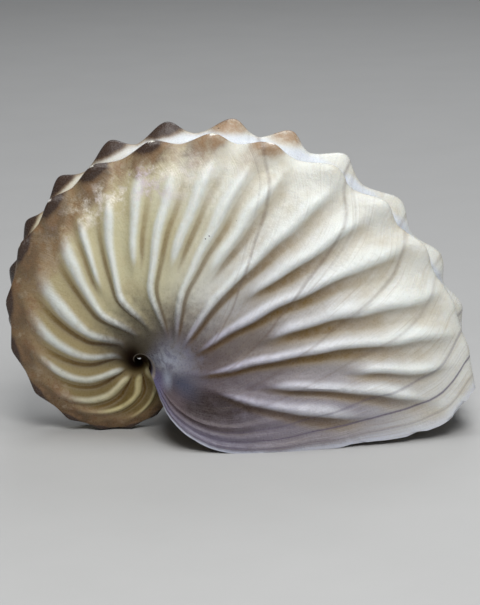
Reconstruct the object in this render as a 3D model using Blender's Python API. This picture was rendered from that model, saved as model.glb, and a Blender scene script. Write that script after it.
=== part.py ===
"""A paper nautilus shell: one thin coiled wall, ribbed on its sides, with two rows of tubercles on its keel.

The shell stands on both sides of its lip and on the spire, as it rests on a table. X runs from the spire to
the lip, Y across the shell, and the origin is on the table under the middle of the shell. Lengths are in
metres, angles in degrees. A coil angle is 0 straight down from the coil's axis, 90 towards -X and 180 straight
up. A radius share is a distance from the axis over the keel's radius at the same angle.
"""
import math

import bpy
import numpy as np

MM = 0.001

# Coil
SPIRE_ANGLE = -250.0
LIP_ANGLE = 273.0
BASE_RADIUS = 11.05 * MM
GROWTH_PER_DEGREE = 0.0068
SLOWING_ANGLE = 130.0
SLOWING_PER_DEGREE_SQUARED = 1.0e-5

# Wall
WALL = 0.65 * MM
WALL_SHARE = 0.045

# Half of the section, from the middle of the keel to the umbilicus: radius share, half width over keel radius
SECTION = (
    (0.982, 0.000),
    (0.986, 0.062),
    (1.000, 0.118),
    (0.966, 0.152),
    (0.880, 0.184),
    (0.760, 0.217),
    (0.620, 0.246),
    (0.480, 0.266),
    (0.350, 0.272),
    (0.240, 0.258),
    (0.150, 0.224),
    (0.085, 0.168),
    (0.045, 0.098),
    (0.030, 0.048),
)
KEEL_EDGE = 2

# Growth line: radius share, and how many degrees of coil the line lies ahead of its end on the keel
GROWTH_LINE = (
    (0.03, 28.0),
    (0.05, 37.0),
    (0.08, 45.0),
    (0.12, 48.5),
    (0.17, 46.0),
    (0.25, 39.5),
    (0.36, 29.0),
    (0.50, 19.5),
    (0.66, 13.0),
    (0.80, 9.5),
    (0.90, 6.5),
    (0.96, 3.0),
    (1.00, 0.0),
)

# Ribs: coil angle at mid height, swirl towards the umbilicus, sweep towards the keel, and the shares where it
# fades in and out
RIBS = (
    (-40.0, 0.0, 45.0, 0.20, 0.90),
    (3.0, 0.0, 45.0, 0.20, 0.88),
    (41.0, 0.0, 26.0, 0.20, 0.87),
    (72.5, 3.0, 26.0, 0.16, 0.85),
    (102.0, 12.0, 13.0, 0.14, 0.86),
    (127.0, 16.0, 6.0, 0.16, 0.87),
    (148.0, 21.0, 2.0, 0.17, 0.86),
    (157.5, 22.0, 2.0, 0.50, 0.85),
    (168.0, 22.0, 2.0, 0.22, 0.86),
    (178.5, 21.0, 2.0, 0.52, 0.92),
    (188.5, 20.0, 1.5, 0.22, 0.88),
    (197.5, 17.5, 1.5, 0.50, 0.92),
    (207.0, 15.0, 1.0, 0.22, 0.93),
    (214.5, 12.0, 1.0, 0.48, 0.93),
    (224.5, 9.0, 1.5, 0.18, 0.96),
    (233.0, 7.0, 2.0, 0.46, 0.94),
    (241.5, 5.0, 2.5, 0.20, 0.96),
    (251.5, 5.0, 3.0, 0.42, 0.97),
    (260.5, 5.0, 2.0, 0.18, 0.95),
    (267.5, 4.0, 1.5, 0.62, 0.90),
    (272.0, 3.0, 3.0, 0.34, 0.84),
    (280.5, -2.0, -1.5, 0.15, 0.64),
)
EARLY_RIB_SPACING = 41.0
RIB_FADE = 0.09
RIB_HEIGHT_SHARE = 0.023
INNER_RIB_SHARE = 0.7
RIB_WIDTH_OF_SPACING = 0.30
SWIRL_SHARE = 0.42
SWIRL_RANGE = 0.20
SWIRL_END = 1.2
SWEEP_SHARE = 0.45
SWEEP_RANGE = 0.40
SWEEP_POWER = 1.5

# Tubercles of the two rows: coil angle and height over the keel radius
NEAR_TUBERCLES = (
    (7.0, 0.055), (29.5, 0.055), (50.0, 0.055), (73.0, 0.055), (96.0, 0.055), (115.5, 0.055), (136.0, 0.056),
    (152.5, 0.056), (167.5, 0.055), (183.5, 0.054), (197.5, 0.054), (210.0, 0.050), (223.5, 0.048),
    (235.5, 0.046), (246.5, 0.036), (257.5, 0.016), (266.0, 0.008),
)
FAR_TUBERCLES = (
    (17.0, 0.070), (39.0, 0.070), (61.5, 0.072), (84.5, 0.076), (104.5, 0.080), (123.0, 0.082), (139.5, 0.084),
    (155.5, 0.086), (172.0, 0.084), (186.5, 0.078), (201.5, 0.072), (214.0, 0.068), (226.0, 0.062),
    (239.5, 0.056), (252.0, 0.042), (262.0, 0.028),
)
EARLY_TUBERCLE_SPACING = 22.5
TUBERCLE_LENGTH_OF_SPACING = 0.30
TUBERCLE_WIDTH_SHARE = 0.048
EARLY_LEAN = 48.0
LATE_LEAN = 28.0
EARLY_POINT = 1.7
LATE_POINT = 2.3
ROUNDING_RANGE = (90.0, 190.0)

# Facets
COLUMN_STEP = 5.5
COLUMNS_PER_RIB = 4
EARLY_COLUMN_STEP = 14.0
INNER_ROWS = (0, 2, 3, 5, 7, 8, 10, 12, 13)
NORMAL_STEP = 0.01

# Stance: the turn about Y that sets spire and lip level, and the depth of the flats worn where it rests
STANCE_TURN = 0.9
WORN_FLAT = 0.3 * MM


def smooth_step(low, high, value):
    """0 below low, 1 above high, and a smooth rise between them."""
    share = np.clip((value - low) / (high - low), 0.0, 1.0)
    return share * share * (3.0 - 2.0 * share)


def keel_radius(angle):
    """The keel's distance from the coil's axis, which grows by a constant rate and slows near the lip."""
    slowing = SLOWING_PER_DEGREE_SQUARED * np.maximum(angle - SLOWING_ANGLE, 0.0) ** 2
    return BASE_RADIUS * np.exp(GROWTH_PER_DEGREE * angle - slowing)


def curve_through(points, position):
    """A smooth curve through the points, read at a position counted in points."""
    points = np.asarray(points, float)
    last = len(points) - 1
    index = np.clip(np.floor(position).astype(int), 0, last - 1)
    t = (position - index)[..., None]
    before = points[np.maximum(index - 1, 0)]
    start = points[index]
    end = points[index + 1]
    after = points[np.minimum(index + 2, last)]
    rise = 2.0 * start + (end - before) * t
    bend = (2.0 * before - 5.0 * start + 4.0 * end - after) * t ** 2
    twist = (3.0 * start - before - 3.0 * end + after) * t ** 3
    return 0.5 * (rise + bend + twist)


def section_point(row):
    """Radius share and signed half width at a row: 0 is the middle of the keel, positive rows are at -Y."""
    half = [(share, width) for share, width in SECTION]
    mirrored = [(share, -width) for share, width in reversed(half[1:])]
    point = curve_through(mirrored + half, row + len(half) - 1)
    return point[..., 0], -point[..., 1]


def growth_lead(share):
    """How far, in degrees, a growth line lies ahead of its end on the keel."""
    shares, leads = zip(*GROWTH_LINE)
    return np.interp(share, shares, leads)


def all_ribs():
    """Every rib, from the spire to the lip."""
    ribs = list(RIBS)
    while ribs[0][0] > SPIRE_ANGLE:
        ribs.insert(0, (ribs[0][0] - EARLY_RIB_SPACING,) + ribs[0][1:])
    return ribs


def spacing_at(angles, index):
    """The mean gap from one angle of a list to its neighbours."""
    first = max(index - 1, 0)
    last = min(index + 1, len(angles) - 1)
    return (angles[last] - angles[first]) / (last - first)


def bend(swirl, sweep, share):
    """How far a rib's crest lies from its middle angle at a share."""
    inward = np.clip((SWIRL_SHARE - share) / SWIRL_RANGE, 0.0, SWIRL_END)
    outward = np.clip((share - SWEEP_SHARE) / SWEEP_RANGE, 0.0, 1.0)
    return swirl * inward ** 2 + sweep * outward ** SWEEP_POWER


def rib_height(angle, share):
    """The height of the ribs above the wall, over the keel radius."""
    ribs = all_ribs()
    middles = [rib[0] for rib in ribs]
    height = np.zeros(np.broadcast(angle, share).shape)
    for index, (middle, swirl, sweep, start, end) in enumerate(ribs):
        crest = middle + bend(swirl, sweep, share)
        width = RIB_WIDTH_OF_SPACING * spacing_at(middles, index)
        ends = smooth_step(start - RIB_FADE, start + RIB_FADE, share)
        ends = ends * (1.0 - smooth_step(end - RIB_FADE, end + RIB_FADE, share))
        height = np.maximum(height, ends * np.exp(-((angle - crest) / width) ** 2))
    return RIB_HEIGHT_SHARE * height


def tubercle_row(row):
    """A row's tubercles, carried on to the spire at an even spacing."""
    row = list(row)
    while row[0][0] > SPIRE_ANGLE:
        row.insert(0, (row[0][0] - EARLY_TUBERCLE_SPACING, row[0][1]))
    return row


def tubercle_height(angle, row):
    """The height of the tubercles over the keel radius, at a coil angle and a section row."""
    share, width = section_point(row)
    height = np.zeros(np.broadcast(angle, row).shape)
    for side, tubercles in ((1.0, tubercle_row(NEAR_TUBERCLES)), (-1.0, tubercle_row(FAR_TUBERCLES))):
        middles = [tubercle[0] for tubercle in tubercles]
        edge_share, edge_width = section_point(np.array(side * KEEL_EDGE))
        across = np.hypot(share - edge_share, width - edge_width) / TUBERCLE_WIDTH_SHARE
        for index, (middle, tall) in enumerate(tubercles):
            along = (angle - middle) / (TUBERCLE_LENGTH_OF_SPACING * spacing_at(middles, index))
            point = EARLY_POINT + (LATE_POINT - EARLY_POINT) * smooth_step(*ROUNDING_RANGE, middle)
            height = np.maximum(height, tall * np.exp(-np.hypot(along, across) ** point))
    return height


def plain_wall(angle, row):
    """Points of the wall without ribs or tubercles, as an array of (x, y, z) about the coil's axis."""
    share, width = section_point(row)
    radius = keel_radius(angle)
    turn = np.radians(angle)
    return np.stack([-np.sin(turn) * share * radius, width * radius, -np.cos(turn) * share * radius], -1)


def wall_normal(angle, row):
    """The outward normal of the plain wall."""
    step = NORMAL_STEP
    along = plain_wall(angle + step, row) - plain_wall(angle - step, row)
    across = plain_wall(angle, row + step) - plain_wall(angle, row - step)
    normal = np.cross(across, along)
    return normal / np.linalg.norm(normal, axis=-1, keepdims=True)


def tubercle_direction(angle, row):
    """Tubercles lean out from the keel to their own side, less and less as the shell grew."""
    _, width = section_point(row)
    turn = np.radians(angle)
    lean = EARLY_LEAN + (LATE_LEAN - EARLY_LEAN) * smooth_step(*ROUNDING_RANGE, angle)
    lean = np.radians(lean) * np.sign(width) * smooth_step(0.0, 1.0, np.abs(row) / KEEL_EDGE)
    outward = np.cos(lean)
    return np.stack([-np.sin(turn) * outward, np.sin(lean), -np.cos(turn) * outward], -1)


def outer_face(angle, row):
    """Points of the outside, with ribs and tubercles."""
    share, _ = section_point(row)
    radius = keel_radius(angle)
    rib = (rib_height(angle, share) * radius)[..., None]
    tubercle = (tubercle_height(angle, row) * radius)[..., None]
    return plain_wall(angle, row) + rib * wall_normal(angle, row) + tubercle * tubercle_direction(angle, row)


def inner_face(angle, row):
    """Points of the inside, which follows the ribs from behind."""
    share, _ = section_point(row)
    radius = keel_radius(angle)
    rib = INNER_RIB_SHARE * rib_height(angle, share) * radius
    depth = np.minimum(WALL, WALL_SHARE * radius) - rib
    return plain_wall(angle, row) - depth[..., None] * wall_normal(angle, row)


def column_angles():
    """The columns of the facets, close together on the ribs and wide apart on the hidden spire."""
    _, leads = zip(*GROWTH_LINE)
    stops = [rib[0] for rib in RIBS] + [LIP_ANGLE + max(leads) + COLUMN_STEP]
    columns = list(np.arange(SPIRE_ANGLE, stops[0], EARLY_COLUMN_STEP))
    for low, high in zip(stops, stops[1:]):
        count = max(COLUMNS_PER_RIB, round((high - low) / COLUMN_STEP))
        columns += [low + (high - low) * step / count for step in range(count)]
    return np.array(columns)


def coil_angles(columns, rows):
    """The coil angle of every column at every row, and the number of the column that ends a row on the lip.

    Columns follow the ribs, and the one nearest to the lip's line is set on it.
    """
    share, _ = section_point(rows)
    middles, swirls, sweeps, _, _ = zip((SPIRE_ANGLE, 0.0, 0.0, 0.0, 0.0), *RIBS)
    swirl = np.interp(columns, middles, swirls)[:, None]
    sweep = np.interp(columns, middles, sweeps)[:, None]
    angles = columns[:, None] + bend(swirl, sweep, share[None, :])
    lip = LIP_ANGLE + growth_lead(share)
    last = np.argmin(np.abs(angles - lip[None, :]), axis=0)
    past = np.arange(len(columns))[:, None] >= last[None, :]
    return np.where(past, lip[None, :], angles), last


def lip_faces(outer, outer_rows, inner, inner_rows):
    """Triangles across the lip, from the outside's end of every row to the inside's."""
    faces = []
    i = 0
    j = 0
    while i < len(outer) - 1 or j < len(inner) - 1:
        outer_middle = np.mean(outer_rows[i:i + 2]) if i < len(outer) - 1 else np.inf
        inner_middle = np.mean(inner_rows[j:j + 2]) if j < len(inner) - 1 else np.inf
        if outer_middle <= inner_middle:
            faces.append((outer[i], outer[i + 1], inner[j]))
            i += 1
        else:
            faces.append((outer[i], inner[j + 1], inner[j]))
            j += 1
    return faces


def shell_mesh():
    """The closed mesh of the wall: outside, inside, umbilical edges and lip."""
    columns = column_angles()
    last_row = len(SECTION) - 1
    outer_rows = np.arange(-last_row, last_row + 1, dtype=float)
    inner_rows = np.array([-row for row in reversed(INNER_ROWS[1:])] + list(INNER_ROWS), dtype=float)
    points = []
    grids = []
    for make, rows, tip_column in ((outer_face, outer_rows, columns[0]), (inner_face, inner_rows, columns[:2].mean())):
        angles, last = coil_angles(columns[1:], rows)
        face_points = make(angles, rows[None, :])
        tip = make(tip_column, rows).mean(axis=0)
        grid = np.zeros((len(columns), len(rows)), int)
        grid[0] = len(points)
        points.append(tuple(tip))
        for row in range(len(rows)):
            for column in range(last[row] + 1):
                grid[column + 1, row] = len(points)
                points.append(tuple(face_points[column, row]))
            grid[last[row] + 1:, row] = len(points) - 1
        grids.append(grid)
    outer, inner = grids
    faces = []
    for grid, flipped in ((outer, False), (inner, True)):
        for column in range(len(grid) - 1):
            for row in range(grid.shape[1] - 1):
                corners = [grid[column, row], grid[column, row + 1], grid[column + 1, row + 1], grid[column + 1, row]]
                faces.append(corners[::-1] if flipped else corners)
    for edge, flipped in ((0, False), (-1, True)):
        for column in range(len(columns) - 1):
            corners = [outer[column, edge], outer[column + 1, edge], inner[column + 1, edge], inner[column, edge]]
            faces.append(corners[::-1] if flipped else corners)
    faces += lip_faces(outer[-1], outer_rows, inner[-1], inner_rows)
    distinct = [[int(corner) for corner in dict.fromkeys(face)] for face in faces]
    return np.array(points), [face for face in distinct if len(face) > 2]


def stood_up(points):
    """Turns the shell to its stance, sets it on the table over the origin, and wears its resting points flat."""
    turn = math.radians(STANCE_TURN)
    x = points[:, 0] * math.cos(turn) + points[:, 2] * math.sin(turn)
    z = points[:, 2] * math.cos(turn) - points[:, 0] * math.sin(turn)
    y = points[:, 1]
    floor = z.min() + WORN_FLAT
    z = np.maximum(z - floor, 0.0)
    x = x - (x.min() + x.max()) / 2
    y = y - (y.min() + y.max()) / 2
    return np.stack([x, y, z], -1)


def shell_material():
    """Creamy calcite with a dull gloss."""
    material = bpy.data.materials.new("shell_calcite")
    material.use_nodes = True
    shader = material.node_tree.nodes["Principled BSDF"]
    shader.inputs["Base Color"].default_value = (0.72, 0.64, 0.50, 1.0)
    shader.inputs["Roughness"].default_value = 0.42
    shader.inputs["Metallic"].default_value = 0.0
    return material


def main():
    for old in list(bpy.data.objects):
        bpy.data.objects.remove(old, do_unlink=True)
    points, faces = shell_mesh()
    mesh = bpy.data.meshes.new("shell")
    mesh.from_pydata([tuple(point) for point in stood_up(points)], [], faces)
    mesh.materials.append(shell_material())
    mesh.update()
    shell = bpy.data.objects.new("shell", mesh)
    bpy.context.scene.collection.objects.link(shell)


main()
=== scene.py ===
import math

import bpy
import numpy as np
from mathutils import Matrix, Vector, noise


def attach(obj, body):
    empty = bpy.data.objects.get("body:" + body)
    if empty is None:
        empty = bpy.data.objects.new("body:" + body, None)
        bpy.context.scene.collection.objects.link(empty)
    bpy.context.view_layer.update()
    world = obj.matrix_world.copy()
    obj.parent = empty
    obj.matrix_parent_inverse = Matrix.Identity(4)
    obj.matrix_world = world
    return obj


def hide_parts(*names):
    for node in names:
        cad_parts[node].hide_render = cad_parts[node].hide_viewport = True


# The looks of a paper nautilus shell: its wall as one fine mesh, and the materials of its outside and inside.
# Lengths are in metres, angles in degrees. A coil angle is 0 straight down from the coil's axis, 90 towards -X
# and 180 straight up. A radius share is a distance from the axis over the keel's radius at the same angle.
# A growth stage is the coil angle at which a growth line ends on the keel.

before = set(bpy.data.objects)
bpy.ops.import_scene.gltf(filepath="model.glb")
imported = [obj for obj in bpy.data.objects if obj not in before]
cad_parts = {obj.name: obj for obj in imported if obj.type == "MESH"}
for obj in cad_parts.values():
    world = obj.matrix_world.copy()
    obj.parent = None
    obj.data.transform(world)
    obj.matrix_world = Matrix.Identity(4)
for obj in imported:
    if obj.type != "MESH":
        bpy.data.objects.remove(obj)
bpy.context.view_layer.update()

MM = 0.001

# Coil, as in the frame
SPIRE_ANGLE = -250.0
LIP_ANGLE = 273.0
BASE_RADIUS = 11.05 * MM
GROWTH_PER_DEGREE = 0.0068
SLOWING_ANGLE = 130.0
SLOWING_PER_DEGREE_SQUARED = 1.0e-5
STANCE_TURN = 0.9
AXIS_X = -17.321 * MM
AXIS_Z = 12.323 * MM

# Wall
WALL = 0.65 * MM
LIP_WALL = 0.38 * MM
THINNING_RANGE = 5.0
WALL_SHARE = 0.045  # the wall's most over the keel's radius
INNER_RIB_SHARE = 0.7

# Half of the section, from the middle of the keel to the umbilicus: radius share, half width over keel radius
SECTION = (
    (0.982, 0.000),
    (0.986, 0.062),
    (1.000, 0.118),
    (0.966, 0.152),
    (0.880, 0.184),
    (0.760, 0.217),
    (0.620, 0.246),
    (0.480, 0.266),
    (0.350, 0.272),
    (0.240, 0.258),
    (0.150, 0.224),
    (0.085, 0.168),
    (0.045, 0.098),
    (0.030, 0.048),
)
LAST_ROW = len(SECTION) - 1
KEEL_EDGE = 2

# Growth line: radius share, and how many degrees of coil the line lies ahead of its end on the keel
GROWTH_LINE = (
    (0.03, 28.0),
    (0.05, 37.0),
    (0.08, 45.0),
    (0.12, 48.5),
    (0.17, 46.0),
    (0.25, 39.5),
    (0.36, 29.0),
    (0.50, 19.5),
    (0.66, 13.0),
    (0.80, 9.5),
    (0.90, 6.5),
    (0.96, 3.0),
    (1.00, 0.0),
)
GROWTH_LINE_ROUNDING = (0.98, 1.0, 1.02)
SHEAR_START = 205.0
SHEAR_POWER = 1.5

# Ribs: coil angle at mid height, swirl towards the umbilicus, sweep towards the keel, and the shares where it
# fades in and out
RIBS = (
    (-40.0, 0.0, 45.0, 0.20, 0.90),
    (3.0, 0.0, 45.0, 0.20, 0.88),
    (41.0, 0.0, 26.0, 0.20, 0.87),
    (72.5, 3.0, 26.0, 0.16, 0.85),
    (102.0, 12.0, 13.0, 0.14, 0.86),
    (127.0, 16.0, 6.0, 0.16, 0.87),
    (148.0, 21.0, 2.0, 0.17, 0.86),
    (157.5, 22.0, 2.0, 0.50, 0.85),
    (168.0, 22.0, 2.0, 0.22, 0.86),
    (178.5, 21.0, 2.0, 0.52, 0.92),
    (188.5, 20.0, 1.5, 0.22, 0.88),
    (197.5, 17.5, 1.5, 0.50, 0.92),
    (207.0, 15.0, 1.0, 0.22, 0.93),
    (214.5, 12.0, 1.0, 0.48, 0.93),
    (224.5, 9.0, 1.5, 0.18, 0.96),
    (233.0, 7.0, 2.0, 0.46, 0.94),
    (241.5, 5.0, 2.5, 0.20, 0.96),
    (251.5, 5.0, 3.0, 0.42, 0.97),
    (260.5, 5.0, 2.0, 0.18, 0.95),
    (267.5, 4.0, 1.5, 0.62, 0.90),
    (272.0, 3.0, 3.0, 0.36, 0.84),
    (280.5, -2.0, -1.5, 0.22, 0.64),
)
EARLY_RIB_SPACING = 41.0
TOP_ANGLE = 175.0
RIB_FADE = 0.09

# Widths of the ribs' upper and lower sides over the spacing, by coil angle
RIB_WIDTHS = (
    (60.0, 0.24, 0.20),
    (90.0, 0.24, 0.22),
    (120.0, 0.27, 0.25),
    (185.0, 0.27, 0.25),
    (225.0, 0.38, 0.16),
    (281.0, 0.48, 0.15),
)
LEAST_RIB_WIDTH = 0.8 * MM
EARLY_RIB_SHARE = 0.026
LATE_RIB_SHARE = 0.023
RIB_SHARE_RANGE = (120.0, 230.0)

# Forms of the early ribs and of the late ones: how much of the height is a narrow crest, and the groove on the
# underside, painted as shade and olive-brown tone, by its place and reach over the spacing and by how squarely
# it is cut
GROWN_RANGE = (200.0, 240.0)
EARLY_CREST = 0.16
LATE_CREST = 0.20
CREST_WIDTH = 0.55
LATE_FADE_SHIFT = 0.04
LATE_FADE_RANGE = (200.0, 230.0)
EARLY_GROOVE_PLACE = 0.36
LATE_GROOVE_PLACE = 0.19
GROOVE_NEAR = 0.10
EARLY_GROOVE_REACH = 0.16
LATE_GROOVE_REACH = 0.36
EARLY_GROOVE_POWER = 2.0
LATE_GROOVE_POWER = 2.6

# How the ribs swirl in and sweep out
SWIRL_SHARE = 0.42
SWIRL_RANGE = 0.20
SWIRL_END = 1.2
SWEEP_SHARE = 0.45
SWEEP_RANGE = 0.40
SWEEP_POWER = 1.5

# Tubercles of the two rows: coil angle and height over the keel radius
NEAR_TUBERCLES = (
    (7.0, 0.055), (29.5, 0.055), (50.0, 0.055), (73.0, 0.055), (96.0, 0.055), (115.5, 0.055),
    (136.0, 0.056), (152.5, 0.056), (167.5, 0.055), (183.5, 0.054), (197.5, 0.054), (210.0, 0.050),
    (223.5, 0.048), (235.5, 0.046), (246.5, 0.036), (257.5, 0.016), (266.0, 0.008),
)
FAR_TUBERCLES = (
    (17.0, 0.070), (39.0, 0.070), (61.5, 0.072), (84.5, 0.076), (104.5, 0.080), (123.0, 0.082),
    (139.5, 0.084), (155.5, 0.086), (172.0, 0.084), (186.5, 0.078), (201.5, 0.072), (214.0, 0.068),
    (226.0, 0.062), (239.5, 0.056), (252.0, 0.042), (262.0, 0.028),
)
EARLY_TUBERCLE_SPACING = 22.5
TUBERCLE_LENGTH_OF_SPACING = 0.30
TUBERCLE_WIDTH_SHARE = 0.048
EARLY_LEAN = 48.0
LATE_LEAN = 28.0
EARLY_POINT = 1.5
LATE_POINT = 2.0
ROUNDING_RANGE = (90.0, 190.0)

# Stain below the tubercles, over the radius share, its slant in degrees, and its length over the spacing
HALO_REACH = 0.13
HALO_SLANT = 3.0
HALO_LENGTH = 0.36

# Where the tubercles of the near and of the far row stop being dark, and then tan, and how they fade there
DARK_UNTIL = (186.0, 196.0)
DARK_FADE = (-12.0, 14.0)
TAN_UNTIL = (219.0, 222.0)
TAN_FADE = (-6.0, 6.0)

# Rows between which the keel's band ends
BAND_ROWS = (1.2, 2.0)

# Inner edge of the brown shoulder: coil angle and radius share
SHOULDER_EDGE = (
    (0.0, 0.80),
    (30.0, 0.76),
    (61.0, 0.74),
    (86.0, 0.74),
    (104.0, 0.73),
    (117.0, 0.76),
    (127.0, 0.78),
    (141.0, 0.74),
    (150.0, 0.79),
    (160.0, 0.83),
    (173.0, 0.88),
    (192.0, 0.93),
    (212.0, 0.97),
    (230.0, 1.05),
)

# Growth checks: growth stage, drop of the wall past it, and how many degrees the drop lasts. They begin away
# from the axis and are lower on the keel.
CHECKS = (
    (208.0, 0.26 * MM, 5.0),
    (227.0, 0.24 * MM, 5.0),
    (242.0, 0.20 * MM, 4.0),
    (252.0, 0.16 * MM, 3.5),
    (262.5, 0.12 * MM, 3.0),
    (267.2, 0.14 * MM, 2.5),
)
CHECK_EDGE = 0.7
CHECK_START = (0.16, 0.32)
CALM_KEEL = 0.45
KEEL_SHARES = (0.92, 0.99)

# Low ridges parallel to the lip: growth stage, height, and the shares between which they rise
LIP_RIDGES = (
    (259.8, 0.34 * MM, 0.10, 0.44),
    (265.2, 0.22 * MM, 0.06, 0.40),
    (270.0, 0.20 * MM, 0.06, 0.60),
)
LIP_RIDGE_WIDTH = 1.1
RIDGE_START_FADE = (-0.04, 0.04)
RIDGE_END_FADE = (-0.12, 0.08)

# Chips of the lip: section row, half width in rows, and depth in degrees. Between them the lip is ragged.
CHIPS = (
    (3.3, 0.22, 1.0),
    (5.85, 0.20, 0.9),
    (4.6, 0.16, 0.5),
    (7.1, 0.12, 0.5),
    (7.8, 0.15, 0.4),
    (-3.9, 0.20, 0.8),
    (-6.6, 0.22, 1.0),
    (-8.3, 0.15, 0.5),
    (0.4, 0.30, 0.4),
)
CHIP_FLOOR = 0.4
CHIP_RANGE = 3.0
RAGGED_DEPTH = 0.32
RAGGED_PER_ROW = 5.0
RAGGED_SEED = 7.0

# Unevenness of a grown wall
LUMP_HEIGHT = 0.10 * MM
LUMP_PER_MM = 0.11
RIB_UNEVENNESS = 0.30
RIB_WANDER = 0.9
RIB_NOISE_PER_MM = 0.16
VIGOUR_SEED = 3.0
WANDER_SEED = 17.0
LUMP_SEED = 31.0

# Mesh
SPIRE_STEP = 4.0
MAIN_FROM = -45.0
MAIN_STEP = 0.55
INNER_EVERY = 3
ROWS_IN_STEP = (5, 6, 6, 5, 6, 6, 6, 6, 6, 6, 4, 3, 2)
INNER_ROWS_IN_STEP = (2, 2, 2, 2, 2, 2, 2, 2, 1, 1, 1, 1, 1)
NORMAL_STEP = 0.01
SHARP_ANGLE = 62.0

# Camera: the photograph's view, which is turned against the frame by the stance
VIEW_ELEVATION = 13.5
VIEW_DISTANCE = 500.0 * MM
VIEW_TARGET = (0.181 * MM, 0.0, 21.936 * MM)
FOCAL_PIXELS = 2900.0
IMAGE_HEIGHT = 605.0
SENSOR = 36.0
NEAREST = 0.01

# Floor: half width, linear colours, noise, and roughness
FLOOR_HALF = 4.0
FLOOR_COLOURS = ((0.42, 0.42, 0.415, 1.0), (0.45, 0.45, 0.445, 1.0))
FLOOR_NOISE_PER_MM = 0.05
FLOOR_DETAIL = 3.0
FLOOR_NOISE_ROUGHNESS = 0.55
FLOOR_ROUGHNESS = 0.75

# Soft lights: name, place, size, watts and colour
LIGHTS = (
    ("key", (0.05, -0.36, 0.46), 0.26, 2.4, (1.0, 0.995, 0.985)),
    ("top", (0.04, -0.02, 0.60), 0.30, 1.6, (0.97, 0.985, 1.0)),
    ("fill", (0.45, -0.40, 0.25), 0.35, 0.35, (0.93, 0.96, 1.0)),
    ("back", (0.05, 0.45, 0.45), 0.30, 0.8, (0.95, 0.97, 1.0)),
)
LIGHT_TARGET = (0.0, 0.0, 25.0 * MM)
SURROUND_COLOUR = (0.94, 0.96, 1.0, 1.0)
SURROUND_STRENGTH = 0.11


def smooth_step(low, high, value):
    """0 below low, 1 above high, and a smooth rise between them."""
    share = np.clip((value - low) / (high - low), 0.0, 1.0)
    return share * share * (3.0 - 2.0 * share)


def keel_radius(angle):
    """The keel's distance from the coil's axis, which grows by a constant rate and slows near the lip."""
    slowing = SLOWING_PER_DEGREE_SQUARED * np.maximum(angle - SLOWING_ANGLE, 0.0) ** 2
    return BASE_RADIUS * np.exp(GROWTH_PER_DEGREE * angle - slowing)


def curve_through(points, position):
    """A smooth curve through the points, read at a position counted in points."""
    points = np.asarray(points, float)
    last = len(points) - 1
    index = np.clip(np.floor(position).astype(int), 0, last - 1)
    t = (position - index)[..., None]
    before = points[np.maximum(index - 1, 0)]
    start = points[index]
    end = points[index + 1]
    after = points[np.minimum(index + 2, last)]
    rise = 2.0 * start + (end - before) * t
    bend = (2.0 * before - 5.0 * start + 4.0 * end - after) * t ** 2
    twist = (3.0 * start - before - 3.0 * end + after) * t ** 3
    return 0.5 * (rise + bend + twist)


def section_point(row):
    """Radius share and signed half width at a row: 0 is the middle of the keel, positive rows are at -Y."""
    mirrored = [(share, -width) for share, width in reversed(SECTION[1:])]
    point = curve_through(mirrored + list(SECTION), row + LAST_ROW)
    return point[..., 0], -point[..., 1]


def growth_lead(share):
    """How far, in degrees, a growth line lies ahead of its end on the keel."""
    shares, leads = zip(*GROWTH_LINE)
    return np.mean([np.interp(share * near, shares, leads) for near in GROWTH_LINE_ROUNDING], axis=0)


def chip_depth(row):
    """How far, in degrees, the lip is worn back at a row."""
    depth = np.zeros(np.shape(row))
    for middle, width, deep in CHIPS:
        away = np.abs(row - middle) / width
        depth = np.maximum(depth, deep * (1.0 - smooth_step(CHIP_FLOOR, 1.0, away)))
    places = np.ravel(row) * RAGGED_PER_ROW
    ragged = np.array([noise.noise(Vector((place, 0.0, RAGGED_SEED))) for place in places])
    return depth + RAGGED_DEPTH * np.maximum(ragged.reshape(np.shape(row)), 0.0)


def all_ribs():
    """Every rib, from the spire to the lip."""
    ribs = list(RIBS)
    while ribs[0][0] > SPIRE_ANGLE:
        ribs.insert(0, (ribs[0][0] - EARLY_RIB_SPACING,) + ribs[0][1:])
    return ribs


def spacing_at(angles, index):
    """The mean gap from one angle of a list to its neighbours."""
    first = max(index - 1, 0)
    last = min(index + 1, len(angles) - 1)
    return (angles[last] - angles[first]) / (last - first)


def rib_bend(swirl, sweep, share):
    """How far a rib's crest lies from its middle angle at a share."""
    inward = np.clip((SWIRL_SHARE - share) / SWIRL_RANGE, 0.0, SWIRL_END)
    outward = np.clip((share - SWEEP_SHARE) / SWEEP_RANGE, 0.0, 1.0)
    return swirl * inward ** 2 + sweep * outward ** SWEEP_POWER


def coil_angle(column, share, row):
    """The coil angle at a column and a share. The columns follow the ribs, and then turn into growth lines, the
    last of which is the lip, worn back at its chips."""
    middles, swirls, sweeps, _, _ = zip((SPIRE_ANGLE, 0.0, 0.0, 0.0, 0.0), *RIBS)
    bend = rib_bend(np.interp(column, middles, swirls), np.interp(column, middles, sweeps), share)
    shear = np.maximum((column - SHEAR_START) / (LIP_ANGLE - SHEAR_START), 0.0) ** SHEAR_POWER
    worn = chip_depth(row) * smooth_step(LIP_ANGLE - CHIP_RANGE, LIP_ANGLE, column)
    return column + shear * growth_lead(share) + (1.0 - shear) * bend - worn


def plain_wall(column, row):
    """Points of the wall without ribs or tubercles, as an array of (x, y, z) about the coil's axis."""
    share, width = section_point(row)
    angle = coil_angle(column, share, row)
    radius = keel_radius(angle)
    turn = np.radians(angle)
    return np.stack([-np.sin(turn) * share * radius, width * radius, -np.cos(turn) * share * radius], -1)


def wall_normal(column, row):
    """The outward normal of the plain wall."""
    step = NORMAL_STEP
    along = plain_wall(column + step, row) - plain_wall(column - step, row)
    across = plain_wall(column, row + step) - plain_wall(column, row - step)
    normal = np.cross(across, along)
    return normal / np.linalg.norm(normal, axis=-1, keepdims=True)


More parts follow.
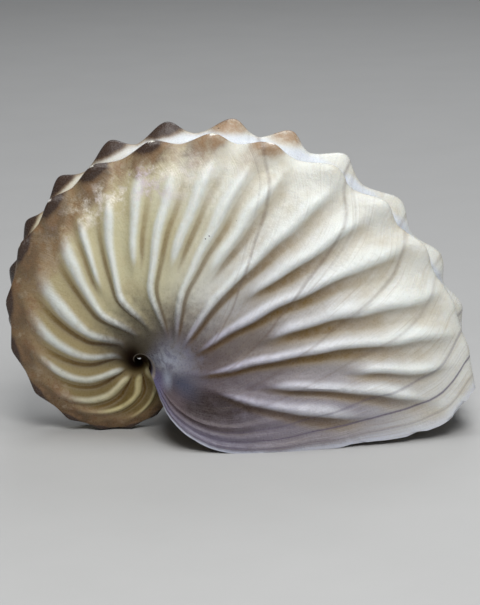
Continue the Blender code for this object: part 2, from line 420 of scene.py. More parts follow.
def noise_at(points, per_mm, seed):
    """Smooth noise between about -1 and 1 at each point."""
    scale = per_mm / MM
    flat = points.reshape(-1, 3) * scale + np.array([seed, 0.0, 0.0])
    values = np.array([noise.noise(Vector(point)) for point in flat.tolist()])
    return values.reshape(points.shape[:-1])


def rib_relief(angle, share, wander, vigour):
    """Rib height from 0 to 1, and the groove on each rib's underside, painted as shade and olive-brown tone,
    from 0 to 1.
    """
    ribs = all_ribs()
    least = np.degrees(LEAST_RIB_WIDTH / (share * keel_radius(angle)))
    height = np.zeros(angle.shape)
    groove = np.zeros(angle.shape)
    middles = [rib[0] for rib in ribs]
    for index, (middle, swirl, sweep, start, end) in enumerate(ribs):
        crest = middle + rib_bend(swirl, sweep, share) + wander
        spacing = spacing_at(middles, index)
        away = (angle - crest) / spacing
        lower_side = np.sign(middle - TOP_ANGLE)
        angles, upper_widths, lower_widths = zip(*RIB_WIDTHS)
        upper = np.interp(middle, angles, upper_widths)
        lower = np.interp(middle, angles, lower_widths)
        width = np.maximum(np.where(away * lower_side > 0.0, lower, upper), least / spacing)
        start = start + LATE_FADE_SHIFT * smooth_step(*LATE_FADE_RANGE, middle)
        ends = smooth_step(start - RIB_FADE, start + RIB_FADE, share)
        ends = ends * (1.0 - smooth_step(end - RIB_FADE, end + RIB_FADE, share))
        grown = smooth_step(*GROWN_RANGE, middle)
        swell = np.exp(-(away / width) ** 2)
        edge = np.exp(-(away / (CREST_WIDTH * width)) ** 2)
        sharp = EARLY_CREST + (LATE_CREST - EARLY_CREST) * grown
        shape = ends * ((1.0 - sharp) * swell + sharp * edge) * (1.0 + RIB_UNEVENNESS * vigour)
        height = np.maximum(height, shape)
        under = away * lower_side - EARLY_GROOVE_PLACE - (LATE_GROOVE_PLACE - EARLY_GROOVE_PLACE) * grown
        reach = EARLY_GROOVE_REACH + (LATE_GROOVE_REACH - EARLY_GROOVE_REACH) * grown
        power = EARLY_GROOVE_POWER + (LATE_GROOVE_POWER - EARLY_GROOVE_POWER) * grown
        reach = np.where(under < 0.0, GROOVE_NEAR, reach)
        groove = np.maximum(groove, ends * np.exp(-np.abs(under / reach) ** power))
    return height, groove


def tubercle_rows():
    """Each row's side, 1 near and -1 far, and its tubercles, carried on to the spire at an even spacing."""
    rows = []
    for side, tubercles in ((1.0, list(NEAR_TUBERCLES)), (-1.0, list(FAR_TUBERCLES))):
        while tubercles[0][0] > SPIRE_ANGLE:
            first, height = tubercles[0]
            tubercles.insert(0, (first - EARLY_TUBERCLE_SPACING, height))
        rows.append((side, tubercles))
    return rows


def tubercle_relief(angle, row):
    """The tubercles' height over the keel's radius, and their form from 0 to 1, at an angle and a row."""
    share, width = section_point(row)
    height = np.zeros(angle.shape)
    form = np.zeros(angle.shape)
    for side, tubercles in tubercle_rows():
        edge_share, edge_width = section_point(np.array(side * KEEL_EDGE))
        across = np.hypot(share - edge_share, width - edge_width) / TUBERCLE_WIDTH_SHARE
        middles = [tubercle[0] for tubercle in tubercles]
        for index, (middle, tall) in enumerate(tubercles):
            along = (angle - middle) / (TUBERCLE_LENGTH_OF_SPACING * spacing_at(middles, index))
            point = EARLY_POINT + (LATE_POINT - EARLY_POINT) * smooth_step(*ROUNDING_RANGE, middle)
            shape = np.exp(-np.hypot(along, across) ** point)
            height = np.maximum(height, tall * shape)
            form = np.maximum(form, shape)
    return height, form


def tubercle_direction(angle, row):
    """The way a tubercle rises: it leans out to its own side, less and less as the shell grew."""
    _, width = section_point(row)
    turn = np.radians(angle)
    lean = EARLY_LEAN + (LATE_LEAN - EARLY_LEAN) * smooth_step(*ROUNDING_RANGE, angle)
    lean = np.radians(lean) * np.sign(width) * smooth_step(0.0, 1.0, np.abs(row) / KEEL_EDGE)
    outward = np.cos(lean)
    return np.stack([-np.sin(turn) * outward, np.sin(lean), -np.cos(turn) * outward], -1)


def check_relief(growth, share):
    """Drops past the growth checks and low ridges along the lip, in metres."""
    relief = np.zeros(growth.shape)
    for stage, drop, lasts in CHECKS:
        past = growth - stage
        fallen = smooth_step(-CHECK_EDGE / 2.0, CHECK_EDGE / 2.0, past)
        reach = smooth_step(*CHECK_START, share) * (1.0 - CALM_KEEL * smooth_step(*KEEL_SHARES, share))
        relief -= drop * fallen * np.exp(-np.maximum(past, 0.0) / lasts) * reach
    for stage, tall, start, end in LIP_RIDGES:
        begun = smooth_step(*(start + fade for fade in RIDGE_START_FADE), share)
        ends = begun * (1.0 - smooth_step(*(end + fade for fade in RIDGE_END_FADE), share))
        relief += tall * ends * np.exp(-((growth - stage) / LIP_RIDGE_WIDTH) ** 2)
    return relief


def wall_relief(column, row):
    """Everything that raises the wall at a column and a row, as a dictionary of arrays."""
    share, _ = section_point(row)
    angle = coil_angle(column, share, row)
    plain = plain_wall(column, row)
    vigour = noise_at(plain, RIB_NOISE_PER_MM, VIGOUR_SEED)
    wander = RIB_WANDER * noise_at(plain, RIB_NOISE_PER_MM, WANDER_SEED)
    growth = angle - growth_lead(share)
    rib, groove = rib_relief(angle, share, wander, vigour)
    late = smooth_step(*RIB_SHARE_RANGE, angle)
    rib_share = EARLY_RIB_SHARE + (LATE_RIB_SHARE - EARLY_RIB_SHARE) * late
    height, form = tubercle_relief(angle, row)
    radius = keel_radius(angle)
    return {
        "angle": angle,
        "share": np.broadcast_to(share, angle.shape),
        "row": np.broadcast_to(row, angle.shape),
        "growth": growth,
        "radius": radius,
        "rib": rib,
        "rib_height": rib * rib_share * radius,
        "groove": groove,
        "tubercle": form,
        "tubercle_height": height * radius,
        "check_height": check_relief(growth, share),
        "lumps": LUMP_HEIGHT * noise_at(plain, LUMP_PER_MM, LUMP_SEED),
        "plain": plain,
    }


def outer_face(column, row):
    """Points of the outside and the relief they follow."""
    relief = wall_relief(column, row)
    raised = relief["rib_height"] + relief["check_height"] + relief["lumps"]
    points = relief["plain"] + raised[..., None] * wall_normal(column, row)
    points += relief["tubercle_height"][..., None] * tubercle_direction(relief["angle"], row)
    return points, relief


def inner_face(column, row):
    """Points of the inside, which follows the ribs from behind, and the relief they follow."""
    relief = wall_relief(column, row)
    thin = smooth_step(LIP_ANGLE - THINNING_RANGE, LIP_ANGLE, column)
    wall = WALL + (LIP_WALL - WALL) * thin
    depth = np.minimum(wall, WALL_SHARE * relief["radius"])
    raised = INNER_RIB_SHARE * relief["rib_height"] + relief["lumps"] + thin * relief["check_height"]
    return relief["plain"] + (raised - depth)[..., None] * wall_normal(column, row), relief


def rows_from(counts):
    """Rows from the far umbilicus over the keel to the near one, with so many facets in each section step."""
    half = [0.0]
    for step, count in enumerate(counts):
        half += [step + (k + 1) / count for k in range(count)]
    return np.array([-row for row in reversed(half[1:])] + half)


def column_angles():
    """Columns from the spire's tip to the lip, close together on the last whorl."""
    spire = np.arange(SPIRE_ANGLE, MAIN_FROM, SPIRE_STEP)
    count = round((LIP_ANGLE - MAIN_FROM) / MAIN_STEP)
    count += (count + len(spire)) % INNER_EVERY
    return np.concatenate([spire, np.linspace(MAIN_FROM, LIP_ANGLE, count + 1)])


def grid_faces(numbers, flipped):
    """Quads of a grid of vertex numbers."""
    corners = [numbers[:-1, :-1], numbers[:-1, 1:], numbers[1:, 1:], numbers[1:, :-1]]
    faces = np.stack(corners, -1).reshape(-1, 4)
    return (faces[:, ::-1] if flipped else faces).tolist()


def rib_triangles(numbers, near):
    """Triangles of a grid on the near or the far side, split along the ribs, which cross the last columns."""
    first, second, third, fourth = (part.reshape(-1) for part in (
        numbers[:-1, :-1], numbers[:-1, 1:], numbers[1:, 1:], numbers[1:, :-1]))
    if near:
        pairs = [(first, second, fourth), (second, third, fourth)]
    else:
        pairs = [(first, second, third), (first, third, fourth)]
    return [face for pair in pairs for face in np.stack(pair, -1).tolist()]


def zip_faces(first, first_values, second, second_values, flipped):
    """Triangles between two lines of vertices that run side by side, paired by the values along them."""
    faces = []
    i = 0
    j = 0
    while i < len(first) - 1 or j < len(second) - 1:
        second_done = j == len(second) - 1
        first_done = i == len(first) - 1
        if second_done or (not first_done and first_values[i + 1] <= second_values[j + 1]):
            faces.append([first[i], first[i + 1], second[j]])
            i += 1
        else:
            faces.append([first[i], second[j + 1], second[j]])
            j += 1
    return [face[::-1] for face in faces] if flipped else faces


def stood_up(points):
    """Turns the shell to its stance and sets it where the frame's shell stands."""
    turn = math.radians(STANCE_TURN)
    x = points[..., 0] * math.cos(turn) + points[..., 2] * math.sin(turn) + AXIS_X
    z = points[..., 2] * math.cos(turn) - points[..., 0] * math.sin(turn) + AXIS_Z
    return np.stack([x, points[..., 1], np.maximum(z, 0.0)], -1)


def tubercle_halo(angle, share, row):
    """Stain around and below the tubercles, from 0 to 1."""
    halo = np.zeros(angle.shape)
    for side, tubercles in tubercle_rows():
        middles = [tubercle[0] for tubercle in tubercles]
        below = np.where(row * side > 0.0, 1.0 - share, 1.0) / HALO_REACH
        for index, middle in enumerate(middles):
            along = (angle - middle + HALO_SLANT * below) / (HALO_LENGTH * spacing_at(middles, index))
            halo = np.maximum(halo, np.exp(-along ** 2 - np.maximum(below, 0.0) ** 2))
    return halo


def fading(row, ends, fade, angle):
    """1 before the angle where a row's tubercles end, for the near and the far row, and 0 past it."""
    end = np.where(row > 0.0, *ends)
    return 1.0 - smooth_step(end + fade[0], end + fade[1], angle)


def paint_fields(relief):
    """The fields that the materials read: the coil angle, radius share, growth stage and row, and the others,
    most of them from 0 to 1."""
    angle = relief["angle"]
    share = relief["share"]
    row = relief["row"]
    edge_angles, edge_shares = zip(*SHOULDER_EDGE)
    edge = np.interp(angle, edge_angles, edge_shares)
    return {
        "coil": angle,
        "share": share,
        "growth": relief["growth"],
        "side": row,
        "rib": np.clip(relief["rib"], 0.0, 1.2),
        "groove": relief["groove"],
        "tubercle": relief["tubercle"],
        "shoulder": np.clip(share - edge, -0.2, 0.4),
        "halo": tubercle_halo(angle, share, row),
        "keel": 1.0 - smooth_step(*BAND_ROWS, np.abs(row)),
        "dark": relief["tubercle"] * fading(row, DARK_UNTIL, DARK_FADE, angle),
        "tan": relief["tubercle"] * fading(row, TAN_UNTIL, TAN_FADE, angle),
    }


def build_shell():
    """The closed mesh of the wall, with the painted fields as attributes."""
    columns = column_angles()
    outer_rows = rows_from(ROWS_IN_STEP)
    inner_rows = rows_from(INNER_ROWS_IN_STEP)
    inner_columns = columns[::INNER_EVERY]
    outer_points, outer_relief = outer_face(columns[:, None], outer_rows[None, :])
    inner_points, inner_relief = inner_face(inner_columns[:, None], inner_rows[None, :])
    outer_count = outer_points[..., 0].size
    outer = np.arange(outer_count).reshape(outer_points.shape[:2])
    inner = outer_count + np.arange(inner_points[..., 0].size).reshape(inner_points.shape[:2])
    points = np.concatenate([stood_up(outer_points).reshape(-1, 3), stood_up(inner_points).reshape(-1, 3)])
    middle = len(outer_rows) // 2
    faces = rib_triangles(outer[:, :middle + 1], False) + rib_triangles(outer[:, middle:], True)
    outside_faces = len(faces)
    faces += grid_faces(inner, True)
    inside_faces = inner[:-1, :-1].size
    faces += zip_faces(outer[-1], outer_rows, inner[-1], inner_rows, False)
    faces += zip_faces(outer[0], outer_rows, inner[0], inner_rows, True)
    faces += zip_faces(outer[:, 0], columns, inner[:, 0], inner_columns, True)
    faces += zip_faces(outer[:, -1], columns, inner[:, -1], inner_columns, False)
    mesh = bpy.data.meshes.new("shell_wall")
    mesh.from_pydata(points.tolist(), [], faces)
    mesh.materials.append(outside_material())
    mesh.materials.append(inside_material())
    slots = np.zeros(len(faces), int)
    slots[outside_faces:outside_faces + inside_faces] = 1
    mesh.polygons.foreach_set("material_index", slots)
    outer_fields = paint_fields(outer_relief)
    inner_fields = paint_fields(inner_relief)
    for name, values in outer_fields.items():
        attribute = mesh.attributes.new(name, "FLOAT", "POINT")
        both = np.concatenate([values.ravel(), inner_fields[name].ravel()])
        attribute.data.foreach_set("value", both.astype(np.float32))
    mesh.update()
    mesh.shade_smooth()
    mesh.set_sharp_from_angle(angle=math.radians(SHARP_ANGLE))
    shell = bpy.data.objects.new("shell_wall", mesh)
    bpy.context.scene.collection.objects.link(shell)
    return shell


# Materials: a mask is a rule that reads a field by its name and gives a number from 0 to 1, and a layer is a
# colour laid over those before it. A stack of layers makes a colour, and may stand in a layer as its tone.


def rise(field, low, high, start=0.0, end=1.0):
    """A mask that goes smoothly from start, where the field is low, to end, where it is high."""
    return "ramp", field, low, high, start, end


def fall(field, low, high, end=0.0):
    """A mask that goes smoothly from 1, where the field is low, to end, where it is high."""
    return "ramp", field, low, high, 1.0, end


def hump(field, middle, width):
    """A mask that is 1 where the field is at the middle, and falls to 0 within the width on both sides."""
    return "hump", field, middle, width


def whole(field):
    """A mask that is the field itself."""
    return "whole", field


def layer(name, tone, strength, *masks):
    """A layer: its name, a screen colour from 0 to 255 or a stack, its strength, and masks that weaken it."""
    return name, tone, strength, masks


# Noises by place: name, cells in a millimetre, detail and roughness
OUTSIDE_NOISES = (
    ("cloud", 0.16, 3.0, 0.55),
    ("mottle", 0.75, 4.0, 0.60),
    ("grain", 3.2, 4.0, 0.65),
    ("smear", 0.42, 5.0, 0.68),
    ("dust", 1.1, 1.0, 0.55),
)
INSIDE_NOISES = (("mottle", 0.35, 4.0, 0.55),)

# Noises drawn out along the growth lines: name, cells in a degree of growth and in the radius share, and seed
STRIAE = ("striae", 2.6, 5.0, 0.0)
OUTSIDE_GRAINS = (STRIAE, ("fine striae", 7.0, 9.0, 4.0), ("wide bands", 0.55, 1.6, 2.0))
GRAIN_DETAIL = 4.0
GRAIN_ROUGHNESS = 0.6
SIDES_APART = 9.0

# Fields with an uneven edge: name, field, noise, and how far the noise moves it in all
UNEVEN_FIELDS = (
    ("shoulder edge", "shoulder", "mottle", 0.16),
    ("tubercle stain", "halo", "mottle", 0.50),
    ("near axis", "share", "mottle", 0.20),
    ("frayed growth", "growth", "mottle", 1.20),
    ("wavy growth", "growth", "cloud", 0.80),
    ("blackened", "dark", "mottle", 0.30),
    # The worn field places the tubercles' white tips, partly wear and partly painted highlight
    ("worn", "tan", "grain", 0.25),
)

# The part of the last whorl where the grooves are paler, and the umbilicus and the whorls hidden in it, which
# hold painted shade
MIDDLE_PART = (rise("coil", 120.0, 160.0), fall("coil", 216.0, 238.0))
UMBILICUS_SIDES = (fall("share", 0.07, 0.20), fall("coil", 150.0, 212.0))
UMBILICUS_HOLE = fall("share", 0.034, 0.046)
HIDDEN_WHORLS = fall("coil", -80.0, -50.0)
SEEN_WHORLS = rise("coil", -80.0, -50.0)
LATE_GROWTH = rise("coil", 212.0, 252.0)

# Groove colours under the ribs: partly olive-brown tone and partly painted shade, darker towards the axis
DEEP_GROOVE_SHADE = (
    layer("umber", (84, 58, 12), 1.0),
    layer("ochre towards the keel", (124, 98, 44), 1.0, rise("share", 0.25, 0.85)),
)
GROOVE = (
    layer("grey tan", (120, 102, 78), 1.0),
    layer("pale tan towards the keel", (166, 152, 124), 1.0, rise("share", 0.25, 0.85)),
    layer("deep groove with painted shade", DEEP_GROOVE_SHADE, 1.0, rise("groove", 0.35, 0.98)),
)
# Crests: pale rib tops, partly painted highlight, and on the last growth lilac-grey and darker towards the
# axis, partly painted shade
CREST = (
    layer("yellow crest", (206, 194, 146), 1.0),
    layer("white crest", (222, 226, 222), 1.0, rise("coil", 20.0, 100.0)),
    layer("lilac crest with painted shade towards the axis", (180, 178, 198), 0.85, fall("share", 0.24, 0.90), LATE_GROWTH),
)
SHOULDER = (
    layer("pale brown", (158, 136, 104), 1.0),
    layer("brown outwards", (104, 80, 58), 1.0, rise("shoulder edge", 0.0, 0.24)),
    layer("tan clouds", (150, 118, 82), 0.35, rise("cloud", 0.35, 0.62)),
    layer("russet blotches", (124, 82, 54), 0.55, fall("smear", 0.40, 0.52)),
    layer("pale mottles", (196, 182, 160), 0.40, rise("mottle", 0.52, 0.72)),
    layer("dark around the tubercles", (56, 42, 36), 0.92, rise("tubercle stain", 0.15, 0.75)),
)
FROST = (
    layer("lilac frost", (202, 188, 200), 1.0),
    layer("white frost", (236, 230, 218), 1.0, rise("cloud", 0.40, 0.60)),
)
# Violet around the axis, with paler ribs, partly painted highlight, and painted shade in the grooves, partly
# umber tone
VIOLET = (
    layer("violet brown", (84, 70, 74), 1.0),
    layer("violet ribs with painted highlight", (164, 158, 180), 1.0, rise("rib", 0.25, 0.90)),
    layer("umber grooves with painted shade", (88, 56, 16), 0.92, rise("groove", 0.0, 0.60)),
)
LAVENDER = (
    layer("slate", (136, 136, 156), 1.0),
    layer("lavender mottles", (192, 198, 214), 1.0, rise("mottle", 0.35, 0.62)),
)
KEEL_BAND = (
    layer("cream band", (216, 206, 178), 1.0),
    layer("white band", (206, 211, 217), 1.0, rise("coil", 130.0, 205.0)),
)

# Growth lines: wavy growth stage, half width in degrees, and strength
BROWN_LINES = (
    (251.9, 0.7, 0.26),
    (241.9, 0.7, 0.32),
    (229.2, 0.6, 0.20),
    (226.9, 0.8, 0.45),
    (207.9, 0.9, 0.45),
    (205.5, 0.6, 0.18),
)
VIOLET_LINES = (
    (267.2, 0.42, 0.80),
    (262.5, 0.50, 0.40),
    (270.5, 0.35, 0.25),
)

OUTSIDE = (
    # Ground, from the olive spire to the pale last growth, grey-brown towards the axis: partly brown stain,
    # partly painted shade
    layer("olive spire", (110, 90, 42), 1.0),
    layer("pale olive", (166, 150, 108), 1.0, rise("coil", 20.0, 110.0)),
    layer("cream", (198, 192, 158), 1.0, rise("coil", 105.0, 185.0)),
    layer("white", (210, 211, 210), 1.0, rise("coil", 185.0, 235.0)),
    layer("white top", (217, 218, 210), 1.0,
          rise("coil", 178.0, 200.0), rise("share", 0.62, 0.86), rise("mottle", 0.30, 0.60, 0.5, 0.9)),
    layer("tan clouds", (172, 154, 114), 0.32, rise("cloud", 0.42, 0.68)),
    layer("tan growth bands", (178, 166, 142), 0.30, rise("wide bands", 0.48, 0.66), LATE_GROWTH),
    layer("brown stain and painted shade towards the axis", (105, 93, 88), 0.92, fall("share", 0.38, 0.88), LATE_GROWTH),
    # Slate tone low on the sides near the axis, partly painted shade
    layer("slate and painted shade low on the sides", (116, 110, 126), 0.72,
          rise("coil", 256.0, 280.0), fall("share", 0.60, 1.00, 0.15), fall("growth", 262.0, 270.0, 0.7)),
    # Grooves, partly olive-brown tone and partly painted shade, deepest towards the axis, and pale crests,
    # partly painted highlight
    layer("grooves", GROOVE, 0.97,
          rise("groove", 0.0, 0.75), fall("share", 0.56, 0.94, 0.3), rise("mottle", 0.25, 0.70, 0.8, 1.0),
          fall("coil", 266.0, 282.0, 0.7), fall("middle part", 0.0, 1.0, 0.74)),
    layer("crests", CREST, 0.94,
          rise("rib", 0.30, 0.90), rise("mottle", 0.20, 0.62, 0.7, 1.0), fall("coil", 256.0, 280.0, 0.78)),
    # Brown shoulder, a stain around the tubercles past it, and frosted patches
    layer("shoulder", SHOULDER, 0.86, rise("shoulder edge", -0.05, 0.08), fall("coil", 184.0, 214.0)),
    layer("tan stain", (152, 118, 84), 0.60,
          rise("halo", 0.30, 0.85), fall("coil", 196.0, 222.0), rise("mottle", 0.30, 0.60, 0.4, 1.0)),
    layer("frost", FROST, 1.0,
          rise("share", 0.72, 0.84), fall("share", 0.90, 0.98), hump("coil", 176.0, 44.0),
          rise("smear", 0.44, 0.64), rise("grain", 0.34, 0.66, 0.45, 0.95)),
    # Around the axis: brown-grey, then violet, lavender and slate past the top of the shell
    layer("brown axis", (60, 45, 34), 0.85,
          fall("near axis", 0.16, 0.46), rise("coil", 60.0, 140.0), fall("coil", 215.0, 240.0, 0.2)),
    layer("violet axis", VIOLET, 0.82, fall("near axis", 0.14, 0.42), rise("coil", 196.0, 236.0)),
    layer("lavender axis", LAVENDER, 0.95, fall("near axis", 0.10, 0.24), hump("coil", 246.0, 46.0)),
    # Dark brown below the axis, partly stain and partly painted shade
    layer("stain and painted shade below the axis", (40, 24, 22), 0.92,
          fall("near axis", 0.20, 0.42), rise("coil", 272.0, 286.0), fall("rib", 0.30, 1.00, 0.45),
          rise("share", 0.12, 0.17), fall("growth", 250.0, 261.0, 0.4)),
    layer("slate patch", (72, 75, 94), 0.95, hump("coil", 280.0, 22.0), hump("share", 0.13, 0.075)),
    layer("violet rim", (116, 112, 148), 0.80, fall("share", 0.06, 0.10), rise("coil", 262.0, 284.0)),
    # Along the lip
    layer("violet strip", (108, 107, 138), 0.42, rise("growth", 261.0, 268.0), fall("share", 0.22, 0.48)),
    layer("pale strips", (200, 196, 204), 0.34,
          rise("fine striae", 0.46, 0.66), rise("growth", 261.0, 270.0), rise("share", 0.10, 0.20)),
    layer("worn edge", (206, 212, 226), 0.55, rise("frayed growth", 270.6, 272.8), rise("share", 0.05, 0.12)),
    # Painted highlight: a short bright streak near the axis by the lip
    layer("painted highlight by the lip near the axis", (176, 184, 202), 0.70, hump("share", 0.085, 0.022), hump("coil", 280.0, 26.0)),
    # Umbilicus and the whorls hidden in it, both painted dark as painted shade, with a pale edge on the near
    # side
    layer("umbilicus", (40, 27, 20), 1.0, whole("umbilicus")),
    layer("pale edge", (196, 184, 168), 0.75,
          hump("share", 0.046, 0.007), rise("coil", 60.0, 120.0), rise("side", 0.0, 2.0)),
    layer("painted shade on the hidden whorls", (50, 36, 27), 0.92, HIDDEN_WHORLS),
    # Smooth white band between the tubercles
    layer("keel band", KEEL_BAND, 1.0, whole("keel"), fall("tubercle", 0.10, 0.45), SEEN_WHORLS),
    # Tubercles: tan at first, black-brown on the young part, and white at the near side's tips, partly wear and
    # partly painted highlight
    layer("tan tubercles", (152, 122, 90), 0.85,
          rise("tan", 0.20, 0.62), rise("mottle", 0.30, 0.60, 0.5, 1.0)),
    layer("dark tubercles", (58, 45, 40), 0.95, rise("blackened", 0.19, 0.47)),
    layer("worn tips with painted highlight", (232, 230, 222), 1.0, rise("worn", 0.93, 1.00), rise("side", 0.0, 1.0), SEEN_WHORLS),
    # Growth lines and streaks, and specks of dirt
    *(layer("brown growth line", (112, 94, 84), strength,
            hump("wavy growth", stage, width), rise("mottle", 0.35, 0.60, 0.6, 1.0),
            rise("share", 0.18, 0.34))
      for stage, width, strength in BROWN_LINES),
    *(layer("violet growth line", (88, 78, 100), strength,
            hump("wavy growth", stage, width), rise("share", 0.08, 0.16))
      for stage, width, strength in VIOLET_LINES),
    layer("streaks", (146, 130, 112), 0.26, rise("striae", 0.52, 0.70), rise("coil", 190.0, 250.0)),
    layer("dirt", (72, 56, 42), 0.80, rise("dust", 0.775, 0.800), fall("coil", 205.0, 225.0)),
)
INSIDE = (
    layer("pale cream", (226, 216, 196), 1.0),
    layer("cream mottles", (210, 196, 170), 1.0, rise("mottle", 0.35, 0.65)),
    layer("deep tan", (182, 154, 108), 0.60, fall("coil", 120.0, 250.0)),
    layer("brown near the axis", (130, 112, 104), 0.50, fall("share", 0.05, 0.30)),
    # Painted shade on the whorls hidden in the umbilicus
    layer("painted shade on the hidden whorls", (44, 32, 24), 0.95, HIDDEN_WHORLS),
)

# Roughness, gloss and bumps. A bump's height is a sum of fields, each with its share of the depth.
OUTSIDE_ROUGHNESS = rise("grain", 0.30, 0.70, 0.22, 0.42)
INSIDE_ROUGHNESS = rise("mottle", 0.30, 0.70, 0.22, 0.34)
TUBERCLE_POLISH = 0.10
HOLLOW_DULLNESS = 0.50
HIDDEN_DULLNESS = 0.475
OUTSIDE_SPECULAR = rise("hollow", 0.0, 0.8, 0.4, 0.02)
OUTSIDE_IOR = 1.5
OUTSIDE_BUMPS = (("fine striae", 0.35), ("striae", 0.50), ("grain", 0.35), ("mottle", 1.10))
INSIDE_BUMPS = (("striae", 1.00), ("mottle", 0.40))
OUTSIDE_BUMP_DEPTH = 0.12 * MM
INSIDE_BUMP_DEPTH = 0.05 * MM
WAX = {
    "Subsurface Weight": 0.12,
    "Subsurface Radius": (1.0, 0.7, 0.4),
    "Subsurface Scale": 0.8 * MM,
}


def screen_colour(red, green, blue):
    """The linear colour of an 8-bit screen colour."""
    return tuple(((value / 255.0 + 0.055) / 1.055) ** 2.4 for value in (red, green, blue)) + (1.0,)


class Paint:
    """A material's nodes, made by short calls. It keeps its fields by name and its masks by their rules."""

    def __init__(self, name):
        self.material = bpy.data.materials.new(name)
        self.material.use_nodes = True
        self.tree = self.material.node_tree
        self.shader = self.tree.nodes["Principled BSDF"]
        self.fields = {}
        self.masks = {}

    def put(self, socket, value):
        """Links a socket to another node's output, or sets it to a value."""
        if isinstance(value, bpy.types.NodeSocket):
            self.tree.links.new(value, socket)
        else:
            socket.default_value = value

    def field(self, name):
        """A field made here under this name, or else the mesh's own."""
        if name not in self.fields:
            node = self.tree.nodes.new("ShaderNodeAttribute")
            node.attribute_type = "GEOMETRY"
            node.attribute_name = name
            self.fields[name] = node.outputs["Fac"]
        return self.fields[name]

    def math(self, operation, first, second):
        node = self.tree.nodes.new("ShaderNodeMath")
        node.operation = operation
        self.put(node.inputs[0], first)
        self.put(node.inputs[1], second)
        return node.outputs[0]

    def times(self, *values):
        product = values[0]
        for value in values[1:]:
            product = self.math("MULTIPLY", product, value)
        return product

    def ramp(self, value, low, high, start, end):
        """A smooth change from start, where the value is low, to end, where it is high."""
        node = self.tree.nodes.new("ShaderNodeMapRange")
        node.interpolation_type = "SMOOTHSTEP"
        for name, number in (("From Min", low), ("From Max", high), ("To Min", start), ("To Max", end)):
            node.inputs[name].default_value = number
        self.put(node.inputs["Value"], value)
        return node.outputs["Result"]

    def mask(self, rule):
        """The mask that a rule describes."""
        if rule not in self.masks:
            kind, field, *numbers = rule
            value = self.field(field)
            if kind == "ramp":
                value = self.ramp(value, *numbers)
            elif kind == "hump":
                middle, width = numbers
                away = self.math("ABSOLUTE", self.math("SUBTRACT", value, middle), 0.0)
                value = self.ramp(away, 0.0, width, 1.0, 0.0)
            self.masks[rule] = value
        return self.masks[rule]

    def product(self, *rules):
        """The product of the masks that the rules describe."""
        return self.times(*(self.mask(rule) for rule in rules))

    def colour(self, tone):
        """The colour of a tone: a screen colour, or a stack of layers, the lowest first."""
        if not isinstance(tone[0], tuple):
            return screen_colour(*tone)
        colour = self.colour(tone[0][1])
        for name, upper, strength, rules in tone[1:]:
            factor = self.times(self.product(*rules), strength)
            colour = self.mix(factor, colour, self.colour(upper), name)
        return colour

    def mix(self, factor, first, second, name=""):
        node = self.tree.nodes.new("ShaderNodeMix")
        node.data_type = "RGBA"
        node.label = name
        self.put(node.inputs["Factor"], factor)
        self.put(node.inputs[6], first)
        self.put(node.inputs[7], second)
        return node.outputs[2]

    def place(self, per_mm):
        """Object coordinates in millimetres, or in another length that so many times a millimetre holds."""
        coordinates = self.tree.nodes.new("ShaderNodeTexCoord")
        mapping = self.tree.nodes.new("ShaderNodeMapping")
        mapping.inputs["Scale"].default_value = [per_mm / MM] * 3
        self.put(mapping.inputs["Vector"], coordinates.outputs["Object"])
        return mapping.outputs["Vector"]

    def noise(self, vector, scale, detail, roughness):
        node = self.tree.nodes.new("ShaderNodeTexNoise")
        node.inputs["Scale"].default_value = scale
        node.inputs["Detail"].default_value = detail
        node.inputs["Roughness"].default_value = roughness
        self.put(node.inputs["Vector"], vector)
        return node.outputs["Fac"]

    def add_noises(self, noises):
        """Keeps noises by place as fields."""
        place = self.place(1.0)
        for name, scale, detail, roughness in noises:
            self.fields[name] = self.noise(place, scale, detail, roughness)

    def add_grain(self, name, per_degree, per_share, seed):
        """Keeps a noise drawn out along the growth lines as a field. The shell's sides differ."""
        node = self.tree.nodes.new("ShaderNodeCombineXYZ")
        self.put(node.inputs["X"], self.times(self.field("growth"), per_degree))
        self.put(node.inputs["Y"], self.times(self.field("share"), per_share))
        self.put(node.inputs["Z"], self.mask(rise("side", -0.5, 0.5, seed, seed + SIDES_APART)))
        self.fields[name] = self.noise(node.outputs["Vector"], 1.0, GRAIN_DETAIL, GRAIN_ROUGHNESS)

    def add_uneven_field(self, name, field, noise_name, amount):
        """Keeps a field moved by a noise, by up to half of the amount either way, as another field."""
        moved = self.times(self.math("SUBTRACT", self.field(noise_name), 0.5), amount)
        self.fields[name] = self.math("ADD", self.field(field), moved)

    def bump(self, parts, depth):
        """Surface bumps, as high as a sum of fields, each with its share of the depth in metres."""
        height = None
        for name, part in parts:
            raised = self.times(self.field(name), part)
            height = raised if height is None else self.math("ADD", height, raised)
        node = self.tree.nodes.new("ShaderNodeBump")
        node.inputs["Strength"].default_value = 1.0
        node.inputs["Distance"].default_value = depth
        self.put(node.inputs["Height"], height)
        self.put(self.shader.inputs["Normal"], node.outputs["Normal"])

    def wax(self):
        """Lets light into the surface, as into thin calcite."""
        for name, value in WAX.items():
            self.shader.inputs[name].default_value = value


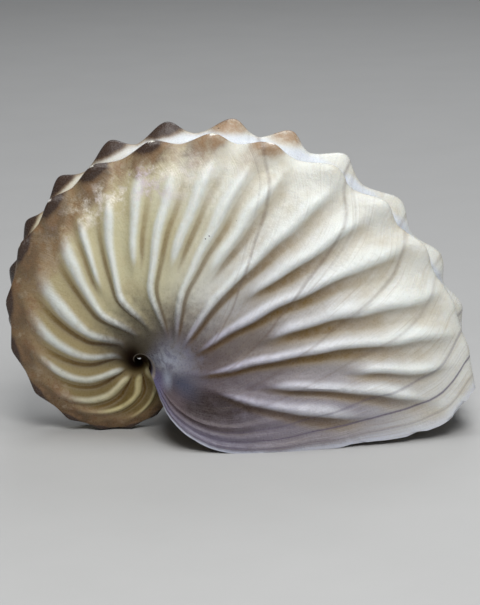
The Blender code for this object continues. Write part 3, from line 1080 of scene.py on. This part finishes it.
def outside_material():
    """Satin calcite: olive to white, with pale crests partly painted highlight, painted shade in grooves and
    umbilicus, brown shoulder, dark tubercles and a violet axis.
    """
    paint = Paint("shell_outside")
    paint.add_noises(OUTSIDE_NOISES)
    for grain in OUTSIDE_GRAINS:
        paint.add_grain(*grain)
    for uneven in UNEVEN_FIELDS:
        paint.add_uneven_field(*uneven)
    umbilicus = paint.math("MAXIMUM", paint.product(*UMBILICUS_SIDES), paint.mask(UMBILICUS_HOLE))
    paint.fields["umbilicus"] = umbilicus
    paint.fields["hollow"] = paint.math("MAXIMUM", umbilicus, paint.mask(HIDDEN_WHORLS))
    paint.fields["middle part"] = paint.product(*MIDDLE_PART)
    paint.put(paint.shader.inputs["Base Color"], paint.colour(OUTSIDE))
    polish = paint.times(paint.field("tubercle"), TUBERCLE_POLISH)
    roughness = paint.math("SUBTRACT", paint.mask(OUTSIDE_ROUGHNESS), polish)
    roughness = paint.math("ADD", roughness, paint.times(paint.field("hollow"), HOLLOW_DULLNESS))
    paint.put(paint.shader.inputs["Roughness"], roughness)
    paint.bump(OUTSIDE_BUMPS, OUTSIDE_BUMP_DEPTH)
    paint.wax()
    paint.shader.inputs["IOR"].default_value = OUTSIDE_IOR
    paint.put(paint.shader.inputs["Specular IOR Level"], paint.mask(OUTSIDE_SPECULAR))
    return paint.material


def inside_material():
    """Porcelain-like cream inside, with faint growth lines, and painted shade in the whorls hidden in the
    umbilicus.
    """
    paint = Paint("shell_inside")
    paint.add_noises(INSIDE_NOISES)
    paint.add_grain(*STRIAE)
    paint.put(paint.shader.inputs["Base Color"], paint.colour(INSIDE))
    dullness = paint.times(paint.mask(HIDDEN_WHORLS), HIDDEN_DULLNESS)
    paint.put(paint.shader.inputs["Roughness"], paint.math("ADD", paint.mask(INSIDE_ROUGHNESS), dullness))
    paint.bump(INSIDE_BUMPS, INSIDE_BUMP_DEPTH)
    paint.wax()
    return paint.material


def build_floor():
    """A plain pale floor."""
    corners = [(x * FLOOR_HALF, y * FLOOR_HALF, 0.0) for x, y in ((-1, -1), (1, -1), (1, 1), (-1, 1))]
    mesh = bpy.data.meshes.new("floor")
    mesh.from_pydata(corners, [], [(0, 1, 2, 3)])
    paint = Paint("floor_paint")
    cloud = paint.noise(paint.place(FLOOR_NOISE_PER_MM), 1.0, FLOOR_DETAIL, FLOOR_NOISE_ROUGHNESS)
    paint.put(paint.shader.inputs["Base Color"], paint.mix(cloud, *FLOOR_COLOURS))
    paint.shader.inputs["Roughness"].default_value = FLOOR_ROUGHNESS
    mesh.materials.append(paint.material)
    floor = bpy.data.objects.new("floor", mesh)
    bpy.context.scene.collection.objects.link(floor)
    return floor


def add_light(name, place, size, watts, colour):
    """A square soft light that faces the shell."""
    data = bpy.data.lights.new(name, "AREA")
    data.shape = "SQUARE"
    data.size = size
    data.energy = watts
    data.color = colour
    light = bpy.data.objects.new(name, data)
    light.location = place
    light.rotation_euler = (Vector(LIGHT_TARGET) - Vector(place)).to_track_quat("-Z", "Y").to_euler()
    bpy.context.scene.collection.objects.link(light)


def add_lights():
    """Soft lights from the front, from above and from behind, a weak fill, and a dim even surround."""
    for light in LIGHTS:
        add_light(*light)
    world = bpy.data.worlds.new("surround")
    world.use_nodes = True
    background = world.node_tree.nodes["Background"]
    background.inputs["Color"].default_value = SURROUND_COLOUR
    background.inputs["Strength"].default_value = SURROUND_STRENGTH
    bpy.context.scene.world = world


def add_camera():
    """The photograph's view. It is level with the photograph, and so turned by the stance in the frame."""
    turn = math.radians(STANCE_TURN)
    rise = math.radians(VIEW_ELEVATION)
    right = Vector((math.cos(turn), 0.0, -math.sin(turn)))
    forward = Vector((-math.sin(rise) * math.sin(turn), math.cos(rise), -math.sin(rise) * math.cos(turn)))
    up = right.cross(forward)
    place = Vector(VIEW_TARGET) - VIEW_DISTANCE * forward
    data = bpy.data.cameras.new("camera")
    data.sensor_width = SENSOR
    data.lens = FOCAL_PIXELS * SENSOR / IMAGE_HEIGHT
    data.clip_start = NEAREST
    camera = bpy.data.objects.new("camera", data)
    axes = Matrix((right, up, -forward)).transposed().to_4x4()
    camera.matrix_world = Matrix.Translation(place) @ axes
    bpy.context.scene.collection.objects.link(camera)
    bpy.context.scene.camera = camera


shell = build_shell()
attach(shell, "root")
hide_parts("shell")
build_floor()
add_lights()
add_camera()
bpy.context.scene.view_settings.view_transform = "Standard"
